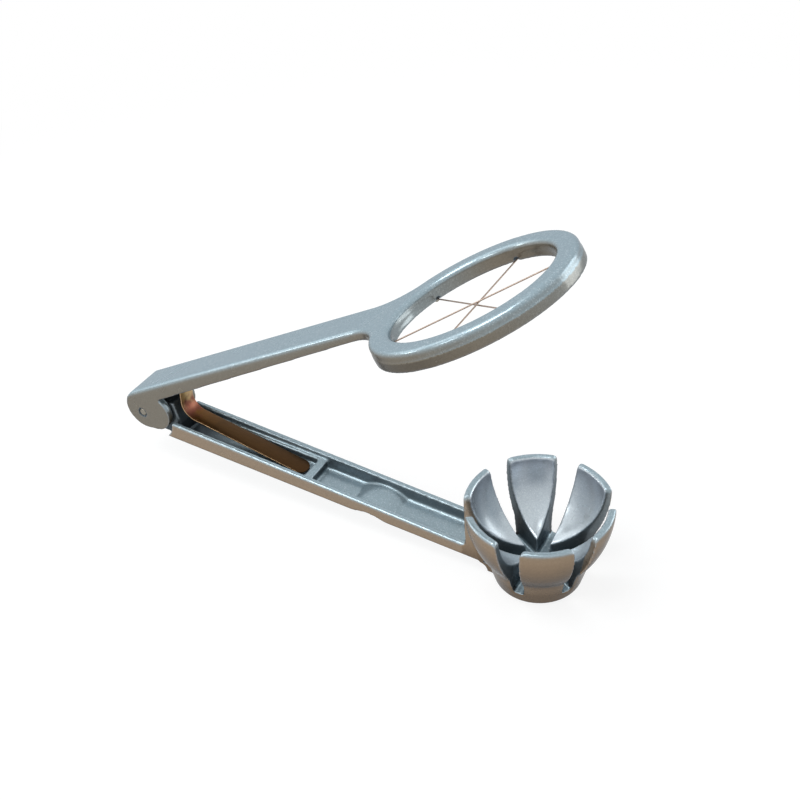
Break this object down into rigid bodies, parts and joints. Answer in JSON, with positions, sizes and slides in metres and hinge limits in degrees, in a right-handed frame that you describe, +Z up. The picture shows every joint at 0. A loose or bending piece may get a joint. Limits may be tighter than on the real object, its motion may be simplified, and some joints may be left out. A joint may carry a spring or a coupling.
{
  "type": "egg wedger",
  "caption": "Sprung lever egg wedger: a slotted egg cup on the lower arm and a ring of crossed cutting wires on the hinged upper arm that closes over the cup.",
  "frame": {"origin": "centre of the cup's foot, on the table plane", "axes": "+X from the hinge to the cup, +Y along the hinge pin, +Z up along the cup axis"},
  "size_m": [0.1944, 0.0696, 0.1239],
  "materials": {
    "cast_aluminium": "die-cast with silver lacquer",
    "spring_steel": "tempered brown",
    "pin_steel": "plain",
    "wire_steel": "drawn",
    "ferrule_steel": "crimped"
  },
  "bodies": {
    "lower": {"lower_arm": "cast_aluminium", "leaf_spring": "spring_steel"},
    "upper": {"upper_arm": "cast_aluminium", "hinge_pin": "pin_steel", "cutting_wire_1": "wire_steel", "cutting_wire_2": "wire_steel", "cutting_wire_3": "wire_steel", "wire_ferrule_1": "ferrule_steel", "wire_ferrule_2": "ferrule_steel", "wire_ferrule_3": "ferrule_steel", "wire_ferrule_4": "ferrule_steel", "wire_ferrule_5": "ferrule_steel", "wire_ferrule_6": "ferrule_steel"}
  },
  "joints": [
    {"name": "lever_hinge", "type": "hinge", "parent": "lower", "child": "upper", "pos_m": [-0.162, 0, 0.02169], "axis": [0, 1, 0], "range_deg": [0, 34.6], "stiffness_Nm_per_rad": 0.3, "springref_deg": -20.05, "deforming": ["leaf_spring"]}
  ]
}
